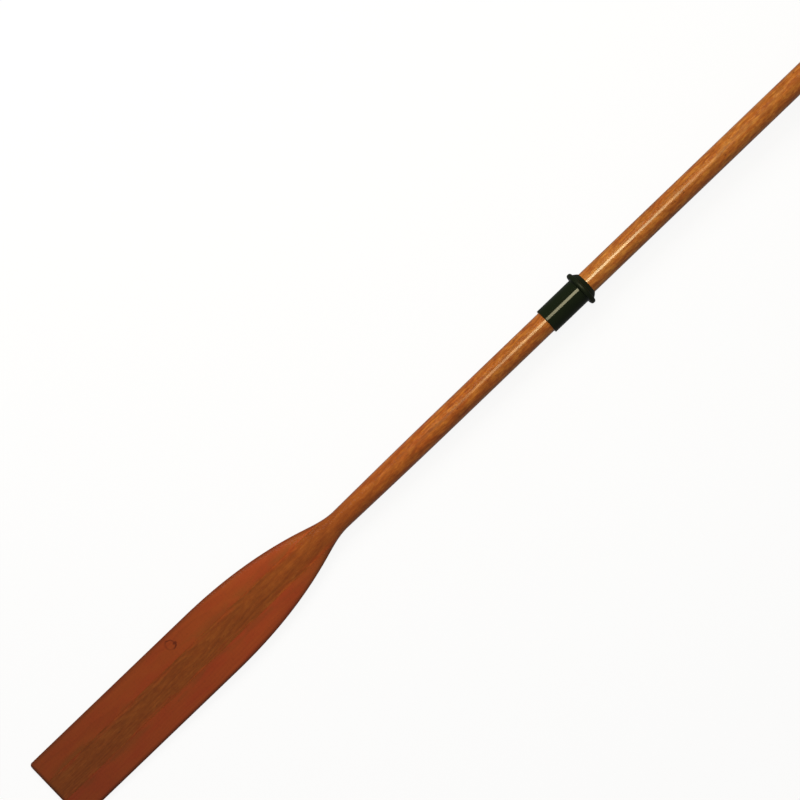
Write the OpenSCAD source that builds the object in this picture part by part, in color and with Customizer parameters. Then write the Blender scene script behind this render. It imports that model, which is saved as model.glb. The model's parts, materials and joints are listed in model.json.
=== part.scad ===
// Wooden rowing oar: a turned loom whose flattened end runs on through the blade as its
// spine, two cheeks glued to that spine, and a moulded collar where the rowlock holds it.
// The oar lies along X. The origin is on its axis, in the plane of the collar's flange face
// that bears on the rowlock. +X points to the grip, the blade lies flat and +Z is up.

/* [Length] */
// Length from the blade's tip to the end of the grip
oar_length = 2000; // [1800:10:2400]
// Length inboard of the rowlock, from the flange face to the end of the grip
inboard_length = 720; // [600:10:900]

/* [Loom] */
// Diameter of the round shaft
loom_d = 42; // [35:0.5:51]
// How much narrower the neck is than the round shaft
neck_waist = 3.8; // [0:0.2:8]
// How much thinner the neck is than the round shaft, square to the blade
neck_flat = 9; // [0:0.5:14]
// Length over which the round shaft thins down to the neck
taper_length = 243; // [150:5:320]

/* [Grip] */
// Diameter of the turned grip
grip_d = 34; // [28:0.5:41]
// Length of the straight part of the grip
grip_length = 112; // [90:1:160]
// Length of the curved shoulder between grip and shaft
grip_shoulder = 18; // [8:1:40]
// Radius of the rounding at the end of the grip
grip_round = 11; // [4:0.5:14]

/* [Blade] */
// Width of the blade
blade_w = 135; // [110:1:165]
// Length of the blade from its tip to the neck
blade_length = 697; // [580:1:840]
// Length from the tip over which the blade's edges are parallel
parallel_length = 380; // [280:5:460]
// Length of the hollow curve where the outline runs into the neck
hollow_length = 65; // [45:1:90]
// Width of the outline where the hollow curve starts
hollow_w = 65.6; // [52:0.2:80]
// How much steeper the shoulder's outline ends than it runs on average, more is fuller
shoulder_fullness = 2.2; // [1.6:0.1:2.7]
// Thickness at the tip
tip_t = 9; // [6:0.5:14]
// Radius of the tip's corners, seen on the flat
corner_r = 6; // [2:0.5:15]
// Rounding of the blade's long edges, measured across the blade
edge_round = 6; // [3:0.5:10]
// Rounding of the tip's end, measured along the blade
tip_round = 2.5; // [1:0.5:5]

/* [Spine] */
// How much wider the spine is than the round shaft, the planing allowance of the blank
blank_allowance = 3; // [1:0.5:6]
// Share of the ridge's rise that the cheeks take up at the glue line, the rest is the ridge
cheek_rise = 0.55; // [0.3:0.05:0.9]
// Share of the cheek's thickness that is left at its outer edge
edge_share = 0.8; // [0.6:0.05:1]

/* [Collar] */
// Length of the sleeve that turns in the rowlock
sleeve_length = 80; // [50:1:120]
// Wall of the sleeve
sleeve_wall = 3.6; // [2.5:0.1:6]
// Radial gap between the collar and the shaft
collar_gap = 0.1; // [0.05:0.05:0.4]
// Height of the flange above the sleeve
flange_height = 9.3; // [5:0.1:16]
// Thickness of the flange
flange_t = 9.5; // [6:0.5:14]
// Radius of the flange's rounded rim, less where the flange is too thin or low for it
rim_r = 4; // [1:0.25:6]
// Length of the cone behind the flange
cone_length = 8.5; // [4:0.5:20]
// Height of the cone above the sleeve where it leaves the flange
cone_rise = 3.4; // [1:0.1:4]
// Thickness of the collar at the cone's thin end
cone_lip = 1.4; // [0.8:0.1:2.4]
// Chamfer at the sleeve's blade-side end
sleeve_chamfer = 1; // [0.5:0.25:1.5]

/* [Hidden] */

$fn = 96;

// Round parts, and the flat left beside the flange's roundings
loom_r = loom_d / 2;
grip_r = grip_d / 2;
bore_r = loom_r + collar_gap;
sleeve_r = bore_r + sleeve_wall;
flange_r = sleeve_r + flange_height;
flat_margin = 0.25;
rim = min(rim_r, flange_t / 2 - flat_margin, flange_height - cone_rise - flat_margin);
arc_steps = 8;

// Places along the oar, as X
tip_x = inboard_length - oar_length;
grip_end_x = inboard_length;
grip_start_x = grip_end_x - grip_round - grip_length;
shaft_end_x = grip_start_x - grip_shoulder;

// Places along the blade, as distances from the tip
neck_at = blade_length;
hollow_at = blade_length - hollow_length;
oval_at = blade_length - hollow_length / 4;
round_at = blade_length + taper_length;
tip_zone = tip_round + corner_r;

// Half sizes of the neck, the blade and the spine
neck_hw = loom_r - neck_waist / 2;
neck_ht = loom_r - neck_flat / 2;
blade_hw = blade_w / 2;
tip_ht = tip_t / 2;
spine_hw = (loom_d + blank_allowance) / 2;

// Share of the tip's thickness that is left at its very end
tip_share = 0.5;
// Slope of the outline where the hollow curve starts
hollow_slope = -shoulder_fullness * (blade_hw - hollow_w / 2) / (hollow_at - parallel_length);
// Slopes of the outline and of the ridge at the neck, each steeper than its average from there
// to the round shaft, and less than three times that, so that nothing bulges
neck_slope = 1.5 * (loom_r - neck_hw) / taper_length;
ridge_slope = 2 * (loom_r - neck_ht) / taper_length;
// How far the carved length stays below the round shaft where it meets it, so that they join cleanly
join_step = 0.05;
// How far the carved length runs on inside the round shaft, and its size there as a share
join_depth = 8;
join_share = 0.9;
// Angle round the section at which the spine's top corner lies where the cheeks feather out
corner_angle = 15;
// Sides of the section's top face, and stations along each stretch
top_steps = 12;
tip_steps = 3;
parallel_steps = 10;
shoulder_steps = 24;
feather_steps = 4;
taper_steps = 14;
cheek_steps = 7;

// A cubic from (x0, y0) with slope m0 to (x1, y1) with slope m1
function cubic(x, x0, y0, m0, x1, y1, m1) =
    let (span = x1 - x0, t = (x - x0) / span, u = 1 - t)
    y0 * u * u * (1 + 2 * t) + y1 * t * t * (3 - 2 * t) + span * t * u * (m0 * u - m1 * t);

// A smooth step from 0 at x0 to 1 at x1
function ease(x, x0, x1) =
    let (t = min(1, max(0, (x - x0) / (x1 - x0))))
    t * t * (3 - 2 * t);

// Height of a quarter round of the given length, as a share, at a distance from its outer end
function quarter(distance, length) =
    let (t = min(1, max(0, distance / length)))
    sqrt(1 - (1 - t) * (1 - t));

// Half width of the outline at distance s from the tip
function outline(s) =
    s < corner_r ? blade_hw - corner_r * (1 - quarter(s, corner_r))
    : s < parallel_length ? blade_hw
    : s < hollow_at ? cubic(s, parallel_length, blade_hw, 0, hollow_at, hollow_w / 2, hollow_slope)
    : s < neck_at ? cubic(s, hollow_at, hollow_w / 2, hollow_slope, neck_at, neck_hw, neck_slope)
    : cubic(s, neck_at, neck_hw, neck_slope, round_at, loom_r - join_step, 0);

// Half thickness along the middle of the spine
function ridge(s) =
    s < neck_at ? cubic(s, 0, tip_ht, 0, neck_at, neck_ht, ridge_slope)
    : cubic(s, neck_at, neck_ht, ridge_slope, round_at, loom_r - join_step, 0);

// Half thickness at the glue line, which comes up to the ridge as the section turns oval
function shoulder(s) =
    let (share = cheek_rise + (1 - cheek_rise) * ease(s, hollow_at - hollow_length, neck_at))
    tip_ht + (ridge(s) - tip_ht) * share;

// Length of the edge rounding across the section: the whole half width once the section is oval
function edge_length(s) =
    edge_round + (outline(s) - edge_round) * ease(s, parallel_length, oval_at);

// Half thickness at distance s from the tip and y from the middle
function half_t(s, y) =
    let (
        hw = outline(s),
        across = abs(y),
        on_spine = min(1, across / spine_hw),
        on_cheek = min(1, max(0, across - spine_hw) / max(1, hw - spine_hw)),
        crown = shoulder(s) + (ridge(s) - shoulder(s)) * pow(cos(90 * on_spine), 2),
        thinning = 1 - (1 - edge_share) * on_cheek,
        end = 1 - (1 - tip_share) * (1 - quarter(s, tip_round))
    )
    crown * thinning * end * quarter(hw - across, edge_length(s));

// Distance from the tip at which the outline comes down to a half width, by halving
function reaches(half_w, near, far, turns = 40) =
    let (mid = (near + far) / 2)
    turns == 0 ? mid
    : outline(mid) > half_w ? reaches(half_w, mid, far, turns - 1)
    : reaches(half_w, near, mid, turns - 1);

// The cheeks end where the spine's top corner reaches their inner face
feather_hw = spine_hw / cos(corner_angle);
feather_at = reaches(feather_hw, parallel_length, neck_at);

// Evenly spaced stations after one place along the blade, up to another
function stations(after, upto, steps) = [for (i = [1 : steps]) after + (upto - after) * i / steps];

// Stations along the blade, from the tip to where the cheeks feather out
blade_stations = concat(
    [for (i = [0 : tip_steps]) tip_round * (1 - cos(90 * i / tip_steps))],
    stations(tip_round, tip_zone, tip_steps),
    stations(tip_zone, parallel_length, parallel_steps),
    stations(parallel_length, feather_at, shoulder_steps)
);
// Stations from there to the round shaft
taper_stations = concat(
    stations(feather_at, neck_at, feather_steps),
    stations(neck_at, round_at, taper_steps)
);

// One ring of the spine: a side point, the top face, the other side point, the bottom face
function spine_ring(s) =
    let (
        hw = min(spine_hw, outline(s)),
        corner_w = min(spine_hw, outline(s) * cos(corner_angle)),
        across = [for (i = [0 : top_steps]) corner_w * cos(180 * i / top_steps)]
    )
    concat(
        [[tip_x + s, hw, 0]],
        [for (y = across) [tip_x + s, y, half_t(s, y)]],
        [[tip_x + s, -hw, 0]],
        [for (y = across) [tip_x + s, -y, -half_t(s, y)]]
    );

// The ring inside the round shaft that the carved length ends on
function buried_ring() =
    [for (p = spine_ring(round_at)) [p.x + join_depth, p.y * join_share, p.z * join_share]];

// One ring of the cheek on the +Y side: the top face outwards, the edge, the bottom face inwards
function cheek_ring(s) =
    let (
        reach = outline(s) - spine_hw,
        across = [for (i = [0 : cheek_steps]) spine_hw + reach * sin(90 * i / cheek_steps)]
    )
    concat(
        [for (i = [0 : cheek_steps - 1]) [tip_x + s, across[i], half_t(s, across[i])]],
        [[tip_x + s, across[cheek_steps], 0]],
        [for (i = [cheek_steps - 1 : -1 : 0]) [tip_x + s, across[i], -half_t(s, across[i])]]
    );

// A solid skinned over rings that all have as many points, with both ends closed flat
module skin(rings) {
    n = len(rings[0]);
    last = len(rings) - 1;
    sides = [
        for (k = [0 : last - 1], j = [0 : n - 1])
            let (a = k * n + j, b = k * n + (j + 1) % n)
            each [[a, b + n, b], [a, a + n, b + n]]
    ];
    near_end = [for (j = [0 : n - 1]) j];
    far_end = [for (j = [n - 1 : -1 : 0]) last * n + j];
    polyhedron(points = [for (ring = rings) each ring], faces = concat(sides, [near_end, far_end]));
}

// Turns a profile drawn as (distance along the oar, radius) about the oar's axis
module turned(profile) {
    rotate([0, 90, 0]) rotate_extrude() polygon([for (p = profile) [p[1], p[0]]]);
}

// Points of an arc, from one angle to another
function arc(centre, r, from, to) =
    [for (i = [0 : arc_steps]) let (a = from + (to - from) * i / arc_steps) centre + r * [cos(a), sin(a)]];

// The curved shoulder from shaft to grip: a smooth step, without its two ends
shoulder_curve = [
    for (i = [1 : arc_steps - 1])
        let (x = shaft_end_x + grip_shoulder * i / arc_steps)
        [x, loom_r + (grip_r - loom_r) * ease(x, shaft_end_x, grip_start_x)]
];

// One length of wood: turned grip, round shaft, oval neck and the spine down to the tip
module loom() {
    color("peru") union() {
        turned(concat(
            [[tip_x + round_at, 0], [tip_x + round_at, loom_r], [shaft_end_x, loom_r]],
            shoulder_curve,
            [[grip_start_x, grip_r]],
            arc([grip_end_x - grip_round, grip_r - grip_round], grip_round, 90, 0),
            [[grip_end_x, 0]]
        ));
        skin(concat(
            [for (s = blade_stations) spine_ring(s)],
            [for (s = taper_stations) spine_ring(s)],
            [buried_ring()]
        ));
    }
}

// The cheek glued to the spine's +Y side
module left_cheek() {
    color("sienna") skin([for (i = [len(blade_stations) - 1 : -1 : 0]) cheek_ring(blade_stations[i])]);
}

// The cheek glued to the spine's -Y side
module right_cheek() {
    color("sienna") mirror([0, 1, 0])
        skin([for (i = [len(blade_stations) - 1 : -1 : 0]) cheek_ring(blade_stations[i])]);
}

// One moulding, pushed onto the shaft from the grip end: sleeve, flange and a short cone
module collar() {
    color([0.1, 0.12, 0.09]) turned(concat(
        [[-sleeve_length, bore_r], [-sleeve_length, sleeve_r - sleeve_chamfer]],
        [[sleeve_chamfer - sleeve_length, sleeve_r], [0, sleeve_r]],
        arc([rim, flange_r - rim], rim, 180, 90),
        arc([flange_t - rim, flange_r - rim], rim, 90, 0),
        [[flange_t, sleeve_r + cone_rise], [flange_t + cone_length, bore_r + cone_lip]],
        [[flange_t + cone_length, bore_r]]
    ));
}

loom();
left_cheek();
right_cheek();
collar();
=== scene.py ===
import json
import math

import bmesh
import bpy
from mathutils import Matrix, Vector, noise


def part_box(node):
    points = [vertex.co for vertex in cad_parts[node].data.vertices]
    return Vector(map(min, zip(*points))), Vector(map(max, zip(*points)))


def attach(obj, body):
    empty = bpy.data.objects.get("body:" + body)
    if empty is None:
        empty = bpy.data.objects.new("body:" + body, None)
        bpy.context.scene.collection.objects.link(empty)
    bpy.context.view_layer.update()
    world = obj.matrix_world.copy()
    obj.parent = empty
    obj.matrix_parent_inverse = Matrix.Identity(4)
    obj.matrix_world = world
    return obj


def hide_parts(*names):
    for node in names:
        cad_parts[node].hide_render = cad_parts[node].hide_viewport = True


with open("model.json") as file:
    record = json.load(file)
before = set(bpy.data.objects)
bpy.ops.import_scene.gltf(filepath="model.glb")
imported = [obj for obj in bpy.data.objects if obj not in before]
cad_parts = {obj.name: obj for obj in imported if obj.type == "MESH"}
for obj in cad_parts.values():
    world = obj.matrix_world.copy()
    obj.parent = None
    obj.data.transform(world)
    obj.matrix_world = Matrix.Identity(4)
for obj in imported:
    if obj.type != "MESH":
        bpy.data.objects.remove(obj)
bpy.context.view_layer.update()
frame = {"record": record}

# ------------------------------------------------------------------------------------------
# The loom. One length of tropical redwood: turned round for the shaft and the grip, planed to
# an oval neck, and run on to the tip as the flat spine that the blade's two cheeks are glued
# to. Sanded by hand and varnished.
# ------------------------------------------------------------------------------------------
MM = 0.001
loom_low, loom_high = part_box("loom")
cheek_low, cheek_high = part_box("left_cheek")
tip_x = loom_low.x
grip_end_x = loom_high.x
shaft_r = loom_high.z
spine_half = cheek_low.y
blade_half = cheek_high.y

# The outline on the flat. These lengths are measured from the tip
parallel_end = 380 * MM
hollow_start = 632 * MM
neck = 697 * MM
taper = 243 * MM
round_start = neck + taper
oval_start = neck - (neck - hollow_start) / 4
hollow_half = 32.8 * MM
neck_half = 19.1 * MM
corner_r = 6 * MM
shoulder_fullness = 2.2
hollow_slope = -shoulder_fullness * (blade_half - hollow_half) / (hollow_start - parallel_end)
neck_slope = 1.5 * (shaft_r - neck_half) / taper

# The thickness. The shares say how much is left at the tip, at the edge and beside the ridge
neck_half_thick = 16.5 * MM
ridge_slope = 2 * (shaft_r - neck_half_thick) / taper
tip_half_thick = 4.5 * MM
tip_share = 0.5
tip_round = 2.5 * MM
edge_round = 6 * MM
edge_share = 0.8
cheek_rise = 0.55
# Less cheek than this beside the spine counts as its feather edge
feather_w = 1 * MM

# Hand work: a fine groove is left along each glue line, and the faces aren't quite even. Less
# is taken off where half the thickness is under thin
eased = 0.22 * MM
sanding = 0.05 * MM
sanding_patch = (70 * MM, 30 * MM, 30 * MM)
thin = 4 * MM


def cubic(x, x0, y0, m0, x1, y1, m1):
    """A curve from (x0, y0) with slope m0 to (x1, y1) with slope m1."""
    t = (x - x0) / (x1 - x0)
    u = 1 - t
    rise = (x1 - x0) * t * u * (m0 * u - m1 * t)
    return y0 * u * u * (1 + 2 * t) + y1 * t * t * (3 - 2 * t) + rise


def share(x, x0, x1):
    """How far x has come from x0 to x1, from 0 to 1."""
    return min(1, max(0, (x - x0) / (x1 - x0)))


def ease(x, x0, x1):
    """The same, but starting and stopping softly."""
    t = share(x, x0, x1)
    return t * t * (3 - 2 * t)


def quarter(distance, length):
    """Height of a quarter round of that length, as a share, at a distance from its outer end."""
    return math.sqrt(1 - (1 - share(distance, 0, length)) ** 2)


def outline(s):
    """Half width of the blade, the neck and the taper, seen on the flat."""
    if s < corner_r:
        return blade_half - corner_r * (1 - quarter(s, corner_r))
    if s < parallel_end:
        return blade_half
    if s < hollow_start:
        return cubic(s, parallel_end, blade_half, 0, hollow_start, hollow_half, hollow_slope)
    if s < neck:
        return cubic(s, hollow_start, hollow_half, hollow_slope, neck, neck_half, neck_slope)
    return cubic(s, neck, neck_half, neck_slope, round_start, shaft_r, 0)


def ridge(s):
    """Half thickness along the middle of the spine."""
    if s < neck:
        return cubic(s, 0, tip_half_thick, 0, neck, neck_half_thick, ridge_slope)
    return cubic(s, neck, neck_half_thick, ridge_slope, round_start, shaft_r, 0)


def glue_line(s):
    """Half thickness where spine and cheek meet."""
    up = cheek_rise + (1 - cheek_rise) * ease(s, 2 * hollow_start - neck, neck)
    return tip_half_thick + (ridge(s) - tip_half_thick) * up


def half_thick(s, y):
    """Half thickness at a length from the tip and a distance from the middle."""
    half = outline(s)
    across = abs(y)
    ridge_left = math.cos(math.pi / 2 * share(across, 0, spine_half)) ** 2
    crown = glue_line(s) + (ridge(s) - glue_line(s)) * ridge_left
    on_cheek = share(across, spine_half, max(half, spine_half + feather_w))
    thinning = 1 - (1 - edge_share) * on_cheek
    end = 1 - (1 - tip_share) * (1 - quarter(s, tip_round))
    rounded = edge_round + (half - edge_round) * ease(s, parallel_end, oval_start)
    return crown * thinning * end * quarter(half - across, rounded)


def planed(s, y):
    """Half thickness with the eased edges beside the glue lines taken off."""
    beside = 1 - share(abs(abs(y) - spine_half), 0, eased)
    groove = eased * beside * share(outline(s) - spine_half, 0, feather_w)
    return max(0, half_thick(s, y) - groove)


def hand_sanded(points):
    """Takes a hair's breadth off each point towards the middle, unevenly, as a hand does."""
    worked = []
    for point in points:
        x, y, z = point
        uneven = 0.5 + 0.5 * noise.noise([c / size for c, size in zip(point, sanding_patch)])
        worked.append((x, y, z * (1 - sanding * uneven / max(abs(z), thin))))
    return worked


def both_faces(x, top, side=1):
    """A ring of points: the top face from (y, z) pairs, then the same face below, turned back."""
    ring = [(x, side * y, z) for y, z in top] + [(x, side * y, -z) for y, z in reversed(top)]
    return hand_sanded(ring)


def stations(after, upto, apart):
    """Even places after one and up to another, at most that far apart."""
    count = math.ceil((upto - after) / apart)
    return [after + (upto - after) * i / count for i in range(1, count + 1)]


def rounded_stations(after, upto, count):
    """Stations that crowd together at the start, where a rounding turns fastest."""
    turns = [math.pi / 2 * i / count for i in range(count + 1)]
    return [after + (upto - after) * (1 - math.cos(a)) for a in turns]


def make_piece(name, mesh, crease):
    """A smooth piece from a mesh, with sharp edges where it turns by more than crease degrees."""
    shape = bmesh.new()
    shape.from_mesh(mesh)
    bmesh.ops.remove_doubles(shape, verts=shape.verts, dist=MM / 1000)
    bmesh.ops.recalc_face_normals(shape, faces=shape.faces)
    for face in shape.faces:
        face.smooth = True
    shape.to_mesh(mesh)
    shape.free()
    mesh.set_sharp_from_angle(angle=math.radians(crease))
    piece = bpy.data.objects.new(name, mesh)
    bpy.context.scene.collection.objects.link(piece)
    return piece


def skin(name, rings, darkening):
    """A closed piece skinned over rings of points, with how much darker the wood is kept at each
    point.
    """
    count = len(rings[0])
    faces = [
        (k * count + j, k * count + i, (k + 1) * count + i, (k + 1) * count + j)
        for k in range(len(rings) - 1)
        for j in range(count)
        for i in [(j + 1) % count]
    ]
    faces.append(tuple(reversed(range(count))))
    faces.append(tuple(range((len(rings) - 1) * count, len(rings) * count)))
    mesh = bpy.data.meshes.new(name)
    mesh.from_pydata([p for ring in rings for p in ring], [], faces)
    edge = mesh.attributes.new("darker_edge", "FLOAT", "POINT")
    edge.data.foreach_set("value", [darkening(v.co) for v in mesh.vertices])
    return make_piece(name, mesh, crease=38)


# Beyond the feather edge the cheeks have run out, and the loom is all there is
feather = hollow_start
while outline(feather) > spine_half:
    feather += 0.1 * MM

blade_stations = (
    rounded_stations(0, tip_round + corner_r, count=18)
    + stations(tip_round + corner_r, parallel_end, 8 * MM)
    + stations(parallel_end, feather - 4 * MM, 3 * MM)
    + stations(feather - 4 * MM, feather, 0.5 * MM)
)
taper_stations = stations(feather, neck, 3 * MM) + stations(neck, round_start, 6 * MM)

ring_steps = 48
half_turns = [math.pi * j / ring_steps for j in range(ring_steps + 1)]


def carved_ring(s):
    """The planed length: the spine, the neck and the taper."""
    half = min(spine_half, outline(s))
    across = [half * math.cos(a) for a in half_turns]
    return both_faces(tip_x + s, [(y, planed(s, y)) for y in across])


def turned_ring(x, r):
    """The length turned in a lathe: the shaft and the grip."""
    return both_faces(x, [(r * math.cos(a), r * math.sin(a)) for a in half_turns])


mounts = {mount["name"]: mount for mount in frame["record"]["mounts"]}
grip = mounts["grip"]
grip_r = grip["dims"]["r_mm"] * MM
grip_start = grip["pos_m"][0] - grip["dims"]["length_mm"] * MM / 2
grip_round = 11 * MM
grip_shoulder = 18 * MM
shaft_end = grip_start - grip_shoulder
dome_start = grip_end_x - grip_round
dome_steps = 16

turned = [(x, shaft_r) for x in stations(tip_x + round_start, shaft_end, 20 * MM)]
turned += [
    (x, shaft_r + (grip_r - shaft_r) * ease(x, shaft_end, grip_start))
    for x in stations(shaft_end, grip_start, 1 * MM)
]
turned += [(x, grip_r) for x in stations(grip_start, dome_start, 14 * MM)]
turned += [
    (dome_start + grip_round * math.sin(a), grip_r - grip_round * (1 - math.cos(a)))
    for a in [math.pi / 2 * i / dome_steps for i in range(1, dome_steps + 1)]
]
turned.append((grip_end_x, 0))

# The wood is darker this far in from the tip and the edges, most of all at the very tip
dark_reach = 8 * MM
darkest_tip = 1.5 * MM


def tip_darkening(point):
    return 1 - ease(point.x - tip_x, darkest_tip, dark_reach)


loom_rings = [carved_ring(s) for s in blade_stations + taper_stations]
loom_rings += [turned_ring(x, r) for x, r in turned]
loom = skin("varnished_loom", loom_rings, tip_darkening)


def set_sockets(tree, node, values):
    """Links each socket whose value is another node's output, and sets the others."""
    for key, value in values.items():
        if isinstance(value, bpy.types.NodeSocket):
            tree.links.new(value, node.inputs[key])
        else:
            node.inputs[key].default_value = value


def add(tree, kind, values={}, out=0, **settings):
    """Adds a shader node, sets it up, and gives back one of its outputs."""
    made = tree.nodes.new("ShaderNode" + kind)
    for name, value in settings.items():
        setattr(made, name, value)
    set_sockets(tree, made, values)
    return made.outputs[out]


def maths(tree, operation, a, b=0.0):
    return add(tree, "Math", {0: a, 1: b}, operation=operation)


def plus(tree, a, b):
    return maths(tree, "ADD", a, b)


def minus(tree, a, b):
    return maths(tree, "SUBTRACT", a, b)


def times(tree, a, b):
    return maths(tree, "MULTIPLY", a, b)


def vector(tree, operation, a, b=(0, 0, 0)):
    """Vector maths. A length or a dot product comes back as a plain value."""
    out = "Value" if operation in ("LENGTH", "DOT_PRODUCT") else "Vector"
    return add(tree, "VectorMath", {0: a, 1: b}, out=out, operation=operation)


def split(tree, place):
    """The three coordinates of a place."""
    parts = tree.nodes.new("ShaderNodeSeparateXYZ")
    tree.links.new(place, parts.inputs[0])
    return list(parts.outputs)


def step_up(tree, value, low, high, to_low=0.0, to_high=1.0):
    """A soft step from to_low, where value is low, to to_high, where it is high."""
    ends = {"From Min": low, "From Max": high, "To Min": to_low, "To Max": to_high}
    return add(tree, "MapRange", {"Value": value, **ends}, interpolation_type="SMOOTHSTEP")


def mixed_colour(tree, amount, a, b, way="MIX"):
    sockets = {0: amount, 6: a, 7: b}
    return add(tree, "Mix", sockets, out=2, data_type="RGBA", blend_type=way)


def stain(tree, colour, where, strength, pigment):
    """Multiplies a colour by a pigment, as far as a mask and a strength say. A pigment over 1
    bleaches."""
    return mixed_colour(tree, times(tree, where, strength), colour, (*pigment, 1), "MULTIPLY")


def patches(tree, place, size, shift=(0, 0, 0), detail=2.0):
    """Soft noise from 0 to 1 with patches of about a size in metres. shift takes other noise."""
    moved = vector(tree, "ADD", place, shift)
    scaled = vector(tree, "DIVIDE", moved, size)
    return add(tree, "TexNoise", {"Vector": scaled, "Scale": 1.0, "Detail": detail}, out="Fac")


def spots(tree, place, size_mm, shift, low, high, detail=2.0):
    """A mask of soft-edged spots, of about a size in millimetres along, across and through."""
    size = [length * MM for length in size_mm]
    return step_up(tree, patches(tree, place, size, shift, detail), low, high)


def new_group(name, takes, gives):
    """Starts a shader group. takes is (name, socket kind, value), gives is (name, socket kind)."""
    tree = bpy.data.node_groups.new(name, "ShaderNodeTree")
    for label, kind, value in takes:
        socket = tree.interface.new_socket(label, in_out="INPUT", socket_type="NodeSocket" + kind)
        if value is not None:
            socket.default_value = value
    for label, kind in gives:
        tree.interface.new_socket(label, in_out="OUTPUT", socket_type="NodeSocket" + kind)
    start = tree.nodes.new("NodeGroupInput").outputs
    end = tree.nodes.new("NodeGroupOutput").inputs
    return tree, start, end


def place_group(tree, group, values):
    made = tree.nodes.new("ShaderNodeGroup")
    made.node_tree = group
    set_sockets(tree, made, values)
    return made.outputs


# Growth rings round the pith of the log, so that they run as long arches on the flats and as
# straight lines down the sides. A ring darkens towards its late wood and then starts afresh
growth_rings, start, end = new_group(
    "growth_rings",
    [
        ("Place", "Vector", None),
        ("Pith", "Vector", (0, 0, 0)),
        ("Ring Width", "Float", 2.6 * MM),
        ("Lean", "Float", 0.02),
        ("Wander", "Float", 4 * MM),
    ],
    [("Late Wood", "Float")],
)
tree = growth_rings
wander_patch = (160 * MM, 50 * MM, 50 * MM)
wander_width = times(tree, start["Wander"], 2.0)
sideways, upwards = (
    times(tree, minus(tree, patches(tree, start["Place"], wander_patch, shift), 0.5), wander_width)
    for shift in ((3, 1, 0), (7, 5, 2))
)
along, side, height = split(tree, start["Place"])
pith_y, pith_z = split(tree, start["Pith"])[1:]
from_y = plus(tree, minus(tree, side, pith_y), sideways)
from_z = plus(tree, minus(tree, height, pith_z), upwards)
from_z = plus(tree, from_z, times(tree, along, start["Lean"]))
from_pith = vector(tree, "LENGTH", add(tree, "CombineXYZ", {1: from_y, 2: from_z}))
years = maths(tree, "DIVIDE", from_pith, start["Ring Width"])
season = maths(tree, "FRACT", years)
year = maths(tree, "FLOOR", years)
good_year = add(tree, "TexWhiteNoise", {"W": year}, out="Value", noise_dimensions="1D")
late = times(
    tree, step_up(tree, season, 0.25, 0.85), step_up(tree, season, 0.9, 1.0, 1.0, 0.0)
)
tree.links.new(times(tree, late, step_up(tree, good_year, -0.4, 1.0)), end["Late Wood"])


def strewn(tree, place, cell, core, rim, left_out):
    """Small marks through the wood, one to a cell. core and rim are shares of the cell's size."""
    cells = tree.nodes.new("ShaderNodeTexVoronoi")
    set_sockets(tree, cells, {"Vector": vector(tree, "DIVIDE", place, cell), "Scale": 1.0})
    drawn_lot = split(tree, cells.outputs["Color"])[0]
    kept = maths(tree, "GREATER_THAN", drawn_lot, left_out)
    return times(tree, kept, step_up(tree, cells.outputs["Distance"], core, rim, 1.0, 0.0))


# Open grain: fine fibres, broader streaks of darker wood, short dark pores and specks of gum
open_grain, start, end = new_group(
    "open_grain",
    [
        ("Place", "Vector", None),
        ("Pore Length", "Float", 9 * MM),
        ("Pore Width", "Float", 0.5 * MM),
    ],
    [("Fibre", "Float"), ("Streak", "Float"), ("Pore", "Float"), ("Gum", "Float")],
)
tree = open_grain
fibre_size = (50 * MM, 0.9 * MM, 0.9 * MM)
gum_cell = (26 * MM, 12 * MM, 12 * MM)
pore_cell = add(
    tree, "CombineXYZ", {0: start["Pore Length"], 1: start["Pore Width"], 2: start["Pore Width"]}
)
for mark, mask in (
    ("Fibre", patches(tree, start["Place"], fibre_size, (1, 0, 4), 3.0)),
    ("Streak", spots(tree, start["Place"], (45, 4.5, 4.5), (5, 2, 0), 0.3, 0.7, 3.0)),
    ("Pore", strewn(tree, start["Place"], pore_cell, 0.2, 0.42, 0.45)),
    ("Gum", strewn(tree, start["Place"], gum_cell, 0.05, 0.11, 0.35)),
):
    tree.links.new(mask, end[mark])


def along_oar(tree, x, stops):
    """A colour that changes along the oar. stops is (X in metres, colour), from the tip on."""
    reach = add(tree, "MapRange", {"Value": x, "From Min": tip_x, "From Max": grip_end_x})
    ramp = tree.nodes.new("ShaderNodeValToRGB")
    ramp.color_ramp.interpolation = "EASE"
    marks = ramp.color_ramp.elements
    marks.remove(marks[1])
    for i, (at, colour) in enumerate(stops):
        where = (at - tip_x) / (grip_end_x - tip_x)
        mark = marks.new(where) if i else marks[0]
        mark.position = where
        mark.color = (*colour, 1)
    tree.links.new(reach, ramp.inputs["Fac"])
    return ramp.outputs["Color"]


def start_material(name):
    material = bpy.data.materials.new(name)
    material.use_nodes = True
    tree = material.node_tree
    place = add(tree, "TexCoord", out="Object")
    return material, tree, tree.nodes["Principled BSDF"], place


def varnish(tree, principled, grain, roughness, grain_depth):
    """Coats of clear varnish over a warm sheen. Pores and fibres telegraph through them."""
    for socket, value in (
        ("Specular IOR Level", 0.2),
        ("Specular Tint", (1.0, 0.72, 0.36, 1)),
        ("Coat Weight", 0.92),
        ("Coat Roughness", 0.17),
        ("Coat IOR", 1.46),
    ):
        principled.inputs[socket].default_value = value
    dull = step_up(tree, grain["Fibre"], 0.2, 0.8, *roughness)
    tree.links.new(dull, principled.inputs["Roughness"])
    relief = plus(tree, times(tree, grain["Pore"], -1.0), times(tree, grain["Fibre"], 0.5))
    bump = add(tree, "Bump", {"Strength": 0.35, "Distance": grain_depth, "Height": relief})
    tree.links.new(bump, principled.inputs["Normal"])


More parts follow.
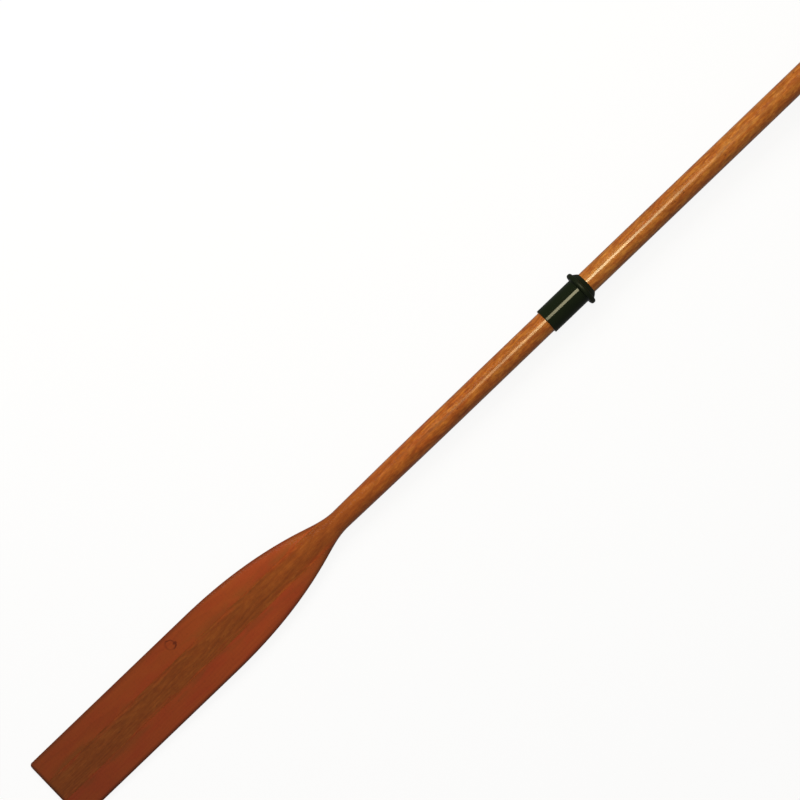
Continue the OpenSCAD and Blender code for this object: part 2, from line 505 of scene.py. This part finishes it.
loom_wood, tree, principled, place = start_material("varnished_loom_wood")
x, y = split(tree, place)[:2]
loom_pith = (0, 7 * MM, -34 * MM)
rings = place_group(
    tree,
    growth_rings,
    {"Place": place, "Pith": loom_pith, "Ring Width": 3.1 * MM, "Wander": 6 * MM},
)
grain = place_group(tree, open_grain, {"Place": place})
# Along the oar the wood darkens towards the tip, partly its own tone and partly painted shade for
# the weaker light on the blade. The lighter, creamier stop just past the collar is a painted glow
# from the line of gloss.
colour = along_oar(
    tree,
    x,
    [
        (tip_x, (0.205, 0.0490, 0.0070)),
        (-0.90, (0.250, 0.0590, 0.0069)),
        (-0.64, (0.320, 0.0740, 0.0079)),
        (-0.43, (0.440, 0.1110, 0.0114)),
        (-0.16, (0.450, 0.1330, 0.0156)),
        (0.06, (0.490, 0.1650, 0.0236)),
        (0.20, (0.423, 0.1243, 0.0145)),
        (0.31, (0.477, 0.1506, 0.0191)),
        (grip_end_x, (0.470, 0.1460, 0.0187)),
    ],
)
colour = stain(tree, colour, rings["Late Wood"], 0.28, (0.42, 0.34, 0.30))
# The figure is lively on the shaft and quieter where the plank was sawn for the blade
quiet_until = -0.60
lively_from = -0.30
lively = step_up(tree, x, quiet_until, lively_from, 0.34, 0.8)
figure = spots(tree, place, (34, 10, 10), (2, 7, 5), 0.38, 0.62)
mottle = spots(tree, place, (14, 4.5, 4.5), (0, 9, 3), 0.34, 0.66)
fleck = spots(tree, place, (9, 1.6, 2.4), (6, 3, 8), 0.60, 0.74)
for mask, strength, pigment in (
    (grain["Streak"], lively, (0.70, 0.66, 0.63)),
    (grain["Fibre"], 0.2, (0.45, 0.40, 0.36)),
    (grain["Pore"], lively, (0.52, 0.46, 0.44)),
    (grain["Gum"], lively, (0.40, 0.34, 0.32)),
    (figure, lively, (0.84, 0.64, 0.52)),
    (mottle, lively, (1.44, 1.72, 1.90)),
    (fleck, 0.5, (1.35, 1.75, 2.60)),
):
    colour = stain(tree, colour, mask, strength, pigment)
# Red dye from the cheeks has crept over the glue lines into the strip, here and there
from_middle = maths(tree, "ABSOLUTE", y)
crept = spots(tree, place, (50, 12, 12), (9, 1, 2), 0.44, 0.6)
near_glue = step_up(tree, from_middle, spine_half - 10 * MM, spine_half - 1 * MM)
on_blade = step_up(tree, x, tip_x + hollow_start, tip_x + neck, 1.0, 0.0)
crept = times(tree, times(tree, crept, near_glue), on_blade)
colour = stain(tree, colour, crept, 0.9, (1.24, 0.91, 1.02))
# The wood is darker towards the tip
darkening = add(tree, "Attribute", out="Fac", attribute_name="darker_edge")
colour = stain(tree, colour, darkening, 1.0, (0.44, 0.46, 0.56))
tree.links.new(colour, principled.inputs["Base Color"])
varnish(tree, principled, grain, roughness=(0.25, 0.36), grain_depth=0.06 * MM)

loom.data.materials.append(loom_wood)
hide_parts("loom")
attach(loom, "root")

# ------------------------------------------------------------------------------------------
# The cheeks. Two boards of a redder, plainer wood, glued to the spine's sides and then carved
# with it: flat on both faces, a little thinner outwards, with rounded long edges.
# ------------------------------------------------------------------------------------------
cheek_steps = 40
quarter_turns = [math.pi / 2 * i / cheek_steps for i in range(cheek_steps + 1)]
darkest_edge = 0.3 * MM
very_edge_width = 1.2 * MM
very_edge_relief = 0.7


def cheek_ring(s, side):
    """One cheek's section. Its points crowd together towards the rounded edge."""
    reach = outline(s) - spine_half
    groove = min(eased, reach)
    across = [spine_half]
    across += [spine_half + groove + (reach - groove) * math.sin(a) for a in quarter_turns]
    return both_faces(tip_x + s, [(y, planed(s, y)) for y in across], side)


def edge_darkening(point):
    """Darker along the edge, less dark again on the very edge, and darker at the tip."""
    from_edge = outline(point.x - tip_x) - abs(point.y)
    darkened = 1 - share(from_edge, darkest_edge, dark_reach)
    on_very_edge = 1 - share(from_edge, 0, very_edge_width)
    return max(darkened * (1 - very_edge_relief * on_very_edge), tip_darkening(point))


cheek_wood, tree, principled, place = start_material("varnished_cheek_wood")
x, y = split(tree, place)[:2]

# A knot runs through the left cheek: a thin dark ring with a speck of bark on its rim. The ring
# is firm on the side towards the grip, and faint and broken on the other
knot_at = (tip_x + 326.6 * MM, spine_half + 25.8 * MM, 0)
knot_r = 9 * MM
knot_turn = 0.77
knot_stretch = (0.92, 1.16, 0.1)
knot_ragged = (6 * MM, 6 * MM, 6 * MM)
firm_side = (0.57, 0.82, 0)
bark_at = (knot_at[0] + 0.95 * knot_r, knot_at[1] - 0.36 * knot_r, 0)
bark_stretch = (0.75, 0.9, 0.1)
uneven = add(tree, "TexNoise", {"Vector": place, "Scale": 90.0, "Detail": 2.0}, out="Color")
ragged = vector(tree, "MULTIPLY", vector(tree, "SUBTRACT", uneven, (0.5, 0.5, 0.5)), knot_ragged)
from_knot = vector(tree, "ADD", vector(tree, "SUBTRACT", place, knot_at), ragged)
from_knot = add(
    tree, "VectorRotate", {"Vector": from_knot, "Angle": knot_turn}, rotation_type="Z_AXIS"
)
from_knot = vector(tree, "MULTIPLY", from_knot, knot_stretch)
knot_distance = vector(tree, "LENGTH", from_knot)
off_ring = maths(tree, "ABSOLUTE", minus(tree, knot_distance, knot_r))
knot_ring = step_up(tree, off_ring, 0.6 * MM, 2.3 * MM, 1.0, 0.0)
gripwards = vector(tree, "DOT_PRODUCT", from_knot, firm_side)
firm = step_up(tree, gripwards, -0.7 * knot_r, 0.4 * knot_r, 0.36, 1.0)
broken = add(tree, "TexNoise", {"Vector": place, "Scale": 70.0}, out="Fac")
firm = times(tree, firm, step_up(tree, broken, 0.35, 0.6, 0.65, 1.0))
from_bark = vector(tree, "ADD", vector(tree, "SUBTRACT", place, bark_at), ragged)
bark_distance = vector(tree, "LENGTH", vector(tree, "MULTIPLY", from_bark, bark_stretch))
bark = step_up(tree, bark_distance, 1.6 * MM, 4.2 * MM, 1.0, 0.0)
knot = maths(tree, "MAXIMUM", times(tree, knot_ring, firm), bark)
# The grain flows round the knot
pushed = add(tree, "CombineXYZ", {1: step_up(tree, knot_distance, knot_r, 4 * knot_r, 5 * MM, 0.0)})
flowing = vector(tree, "ADD", place, pushed)

cheek_pith = (0, 20 * MM, -90 * MM)
rings = place_group(
    tree,
    growth_rings,
    {"Place": flowing, "Pith": cheek_pith, "Ring Width": 4.2 * MM, "Wander": 7 * MM},
)
grain = place_group(
    tree, open_grain, {"Place": flowing, "Pore Length": 7 * MM, "Pore Width": 0.4 * MM}
)
# The cheeks darken towards the tip, partly their own tone and partly painted shade for the weaker
# light there.
colour = along_oar(
    tree,
    x,
    [
        (tip_x, (0.250, 0.0410, 0.0078)),
        (-1.00, (0.302, 0.0450, 0.0079)),
        (-0.76, (0.366, 0.0555, 0.0096)),
        (-0.60, (0.470, 0.0810, 0.0128)),
    ],
)
blotch = spots(tree, place, (70, 22, 22), (4, 4, 1), 0.36, 0.64)
# The dark oil of the strip has crept the other way, over the glue line into the cheeks
from_middle = maths(tree, "ABSOLUTE", y)
crept = spots(tree, place, (70, 20, 20), (3, 5, 8), 0.46, 0.62)
near_glue = step_up(tree, from_middle, spine_half + 2 * MM, spine_half + 18 * MM, 1.0, 0.0)
crept = times(tree, crept, near_glue)
# The right-hand board was cut from a redder plank, which turns browner towards the shoulder
right_board = step_up(tree, y, -1 * MM, 1 * MM, 1.0, 0.0)
browner_from = -0.74
browner_by = -0.68
browner = times(tree, step_up(tree, x, browner_from, browner_by), right_board)
# The wood is darker along the edges and towards the tip, less so on the very edge
darkening = add(tree, "Attribute", out="Fac", attribute_name="darker_edge")
for mask, strength, pigment in (
    (rings["Late Wood"], 0.14, (0.50, 0.42, 0.40)),
    (grain["Streak"], 0.10, (0.60, 0.55, 0.50)),
    (grain["Fibre"], 0.16, (0.55, 0.50, 0.48)),
    (grain["Pore"], 0.35, (0.40, 0.34, 0.32)),
    (blotch, 0.42, (1.00, 1.42, 1.00)),
    (crept, 0.9, (0.80, 1.10, 0.96)),
    (right_board, 1.0, (0.99, 0.91, 1.03)),
    (browner, 1.0, (0.90, 1.12, 1.02)),
    (knot, 0.95, (0.42, 0.30, 0.20)),
    (darkening, 1.0, (0.44, 0.50, 0.66)),
):
    colour = stain(tree, colour, mask, strength, pigment)
tree.links.new(colour, principled.inputs["Base Color"])
varnish(tree, principled, grain, roughness=(0.34, 0.46), grain_depth=0.05 * MM)

for name, side in (("left_cheek", 1), ("right_cheek", -1)):
    board = skin(name + "_board", [cheek_ring(s, side) for s in blade_stations], edge_darkening)
    board.data.materials.append(cheek_wood)
    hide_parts(name)
    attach(board, "root")

# ------------------------------------------------------------------------------------------
# The collar. One black moulding pushed on from the grip end and glued: a plain sleeve that
# turns in the rowlock, a flange with a rounded rim, and a short cone behind the flange.
# ------------------------------------------------------------------------------------------
collar_low, collar_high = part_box("collar")
sleeve_start = collar_low.x
cone_end = collar_high.x
flange_r = collar_high.z
sleeve_r = mounts["rowlock_seat"]["dims"]["r_mm"] * MM
sleeve_chamfer = 1 * MM
bore_r = shaft_r + 0.1 * MM
flange_t = 9.5 * MM
rim = 4 * MM
root_fillet = 1.2 * MM
cone_base_r = sleeve_r + 3.4 * MM
cone_lip_r = bore_r + 1.4 * MM
cone_belly = 0.5 * MM
lip_round = 0.7 * MM
cone_steps = 12
turns = 144


def arc(x, r, radius, a0, a1, count=10):
    """Points of a rounding about (x, r), from angle a0 to angle a1 in degrees."""
    angles = [math.radians(a0 + (a1 - a0) * i / count) for i in range(count + 1)]
    return [(x + radius * math.cos(a), r + radius * math.sin(a)) for a in angles]


sleeve_mouth = arc(
    sleeve_start + sleeve_chamfer, sleeve_r - sleeve_chamfer, sleeve_chamfer, 180, 90, 6
)
root = arc(-root_fillet, sleeve_r + root_fillet, root_fillet, -90, 0, 6)
# Points close beside the roundings keep the long face between them flat
held = 0.6 * MM
mouth_end = sleeve_mouth[-1][0]
root_start = root[0][0]
sleeve_x = [mouth_end + held, mouth_end + 2 * held]
sleeve_x += stations(sleeve_x[-1], root_start - 2 * held, 10 * MM) + [root_start - held]
cone = []
for reach in [i / cone_steps for i in range(cone_steps + 1)]:
    straight = cone_base_r + (cone_lip_r - cone_base_r) * reach
    bellied = straight + cone_belly * 4 * reach * (1 - reach)
    cone.append((flange_t + (cone_end - lip_round - flange_t) * reach, bellied))
profile = (
    [(sleeve_start, bore_r)]
    + sleeve_mouth
    + [(x, sleeve_r) for x in sleeve_x]
    + root
    + arc(rim, flange_r - rim, rim, 180, 90)
    + arc(flange_t - rim, flange_r - rim, rim, 90, 0)
    + cone
    + [(cone_end, cone_lip_r - lip_round), (cone_end, bore_r)]
)
count = len(profile)
moulding = [
    (x, r * math.sin(a), r * math.cos(a))
    for a in [2 * math.pi * i / turns for i in range(turns)]
    for x, r in profile
]
faces = [
    (here + j, there + j, there + (j + 1) % count, here + (j + 1) % count)
    for here, there in [(i * count, (i + 1) % turns * count) for i in range(turns)]
    for j in range(count)
]
mesh = bpy.data.meshes.new("moulded_collar")
mesh.from_pydata(moulding, [], faces)
collar = make_piece("moulded_collar", mesh, crease=34)

collar_plastic, tree, principled, place = start_material("black_moulded_plastic")
x = split(tree, place)[0]
cloudy = patches(tree, place, (20 * MM, 12 * MM, 12 * MM), (2, 6, 1), 3.0)
deep_black = (0.0052, 0.0095, 0.0029, 1)
cloudy_black = (0.0087, 0.0134, 0.0041, 1)
colour = mixed_colour(tree, cloudy, deep_black, cloudy_black)
tree.links.new(colour, principled.inputs["Base Color"])
# The rowlock has rubbed fine lines round the sleeve
rubs = spots(tree, place, (0.6, 20, 20), (8, 0, 3), 0.6, 0.8)
dull = plus(tree, step_up(tree, cloudy, 0.3, 0.7, 0.09, 0.12), times(tree, rubs, 0.04))
# The flange and the cone are left with the grain of the mould, and only the sleeve is polished
radius = vector(tree, "LENGTH", vector(tree, "MULTIPLY", place, (0, 1, 1)))
on_flange = step_up(tree, radius, sleeve_r + 1 * MM, sleeve_r + 3 * MM)
on_cone = step_up(tree, x, flange_t - 1 * MM, flange_t)
from_mould = maths(tree, "MAXIMUM", on_flange, on_cone)
dull = plus(tree, dull, times(tree, from_mould, 0.32))
tree.links.new(dull, principled.inputs["Roughness"])
orange_peel = add(tree, "TexNoise", {"Vector": place, "Scale": 900.0, "Detail": 2.0}, out="Fac")
bump = add(tree, "Bump", {"Strength": 0.12, "Distance": 0.04 * MM, "Height": orange_peel})
tree.links.new(bump, principled.inputs["Normal"])
principled.inputs["IOR"].default_value = 1.3

collar.data.materials.append(collar_plastic)
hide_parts("collar")
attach(collar, "root")

# ------------------------------------------------------------------------------------------
# The floor. A plain pale sheet that the oar lies on: it touches the flange's rim and the
# underside of the blade's tip, so it slopes a little towards the blade.
# ------------------------------------------------------------------------------------------
rest_at_flange = Vector((flange_t / 2, 0, -flange_r))
rest_at_tip = Vector((tip_x + tip_round, 0, -tip_half_thick))
slope = math.atan2(rest_at_tip.z - rest_at_flange.z, rest_at_flange.x - rest_at_tip.x)
floor_half = 8.0
floor_corners = [
    (floor_half * x, floor_half * y, 0) for x, y in ((-1, -1), (1, -1), (1, 1), (-1, 1))
]
floor_mesh = bpy.data.meshes.new("floor")
floor_mesh.from_pydata(floor_corners, [], [(0, 1, 2, 3)])
floor = bpy.data.objects.new("floor", floor_mesh)
bpy.context.scene.collection.objects.link(floor)
floor.location = rest_at_flange
floor.rotation_euler = (0, slope, 0)

# How much of the sheet shows as plain white. The rest of it is matt and keeps the shadow, and
# far off it fades to white, so that it has no end
near_white = 0.90
fade_start = 1.6
fade_end = 3.6
# How bright the white is where gloss mirrors it
gloss_white = 0.18


def seen_white(tree):
    """Whether a ray is the camera's, whether gloss or glass sent it, and the white it meets."""
    rays = tree.nodes.new("ShaderNodeLightPath").outputs
    by_camera = rays["Is Camera Ray"]
    by_gloss = maths(tree, "MAXIMUM", rays["Is Glossy Ray"], rays["Is Transmission Ray"])
    white = add(tree, "MapRange", {"Value": by_camera, "To Min": gloss_white, "To Max": 1.0})
    return by_camera, by_gloss, white


paper = bpy.data.materials.new("pale_paper")
paper.use_nodes = True
tree = paper.node_tree
tree.nodes.clear()
by_camera, by_gloss, white = seen_white(tree)
far = vector(tree, "LENGTH", add(tree, "TexCoord", out="Object"))
plain = times(tree, by_camera, step_up(tree, far, fade_start, fade_end, near_white, 1.0))
plain = maths(tree, "MAXIMUM", plain, by_gloss)
# The matt part throws less light back at the oar than its own look would, so that the oar's
# flanks keep their shade
bounce = (0.35, 0.32, 0.30, 1)
pale = (0.97, 0.98, 1.0, 1)
matt = add(tree, "BsdfDiffuse", {"Color": mixed_colour(tree, by_camera, bounce, pale)})
glow = add(tree, "Emission", {"Color": (1, 1, 1, 1), "Strength": white})
sheet = add(tree, "MixShader", {0: plain, 1: matt, 2: glow})
tree.links.new(sheet, tree.nodes.new("ShaderNodeOutputMaterial").inputs["Surface"])
floor_mesh.materials.append(paper)

# ------------------------------------------------------------------------------------------
# The studio: pale air all round, a warm strip of light overhead that draws the line of gloss
# along the shaft, and a broad soft lamp from the left side for the form.
# ------------------------------------------------------------------------------------------
world = bpy.data.worlds.new("studio_air")
world.use_nodes = True
bpy.context.scene.world = world
tree = world.node_tree
tree.nodes.clear()
by_camera, by_gloss, white = seen_white(tree)
dim = add(tree, "Background", {"Color": (1, 0.92, 0.86, 1), "Strength": 0.27})
bright = add(tree, "Background", {"Color": (1, 1, 1, 1), "Strength": white})
shown = maths(tree, "MAXIMUM", by_camera, by_gloss)
air = add(tree, "MixShader", {0: shown, 1: dim, 2: bright})
tree.links.new(air, tree.nodes.new("ShaderNodeOutputWorld").inputs["Surface"])


def lamp(name, where, aim, size, radiance, colour, in_gloss, on_matt):
    """A rectangular softbox that faces a point. radiance is how bright its face is, 1 is white."""
    light = bpy.data.lights.new(name, "AREA")
    light.shape = "RECTANGLE"
    light.size, light.size_y = size
    light.energy = radiance * size[0] * size[1] * math.pi
    light.color = colour
    made = bpy.data.objects.new(name, light)
    bpy.context.scene.collection.objects.link(made)
    made.location = where
    made.rotation_euler = (Vector(aim) - Vector(where)).to_track_quat("-Z", "Y").to_euler()
    made.visible_camera = False
    made.visible_glossy = in_gloss
    made.visible_diffuse = on_matt


lamp(
    "overhead_strip",
    where=(0.215, 0.48, 2.0),
    aim=(0.215, 0.48, 0.0),
    size=(0.33, 0.82),
    radiance=12.6,
    colour=(1.0, 0.92, 0.57),
    in_gloss=True,
    on_matt=True,
)
# A wider, weaker pane just above the strip softens the ends of the line of gloss
lamp(
    "overhead_glow",
    where=(0.20, 0.48, 2.01),
    aim=(0.20, 0.48, 0.0),
    size=(0.80, 0.82),
    radiance=5.0,
    colour=(1.0, 0.92, 0.57),
    in_gloss=True,
    on_matt=False,
)
# This one gives form only, and isn't mirrored in the varnish
lamp(
    "side_softbox",
    where=(0.1, 2.2, 2.2),
    aim=(-0.4, 0.0, 0.0),
    size=(2.4, 1.6),
    radiance=6.1,
    colour=(1.0, 0.965, 0.90),
    in_gloss=False,
    on_matt=True,
)

# ------------------------------------------------------------------------------------------
# The camera looks straight down on the flat of the blade, turned so that the oar runs up to
# the right.
# ------------------------------------------------------------------------------------------
view_centre = Vector((-0.3619, 0.0793, 0))
view_width = 1.412
view_turn = math.radians(-43.82)
view_height = 4.5
camera = bpy.data.cameras.new("camera")
camera.sensor_width = 36
camera.lens = camera.sensor_width * view_height / view_width
camera_object = bpy.data.objects.new("camera", camera)
camera_object.location = view_centre + Vector((0, 0, view_height))
camera_object.rotation_euler = (0, 0, view_turn)
bpy.context.scene.collection.objects.link(camera_object)
bpy.context.scene.camera = camera_object
bpy.context.scene.view_settings.view_transform = "Standard"
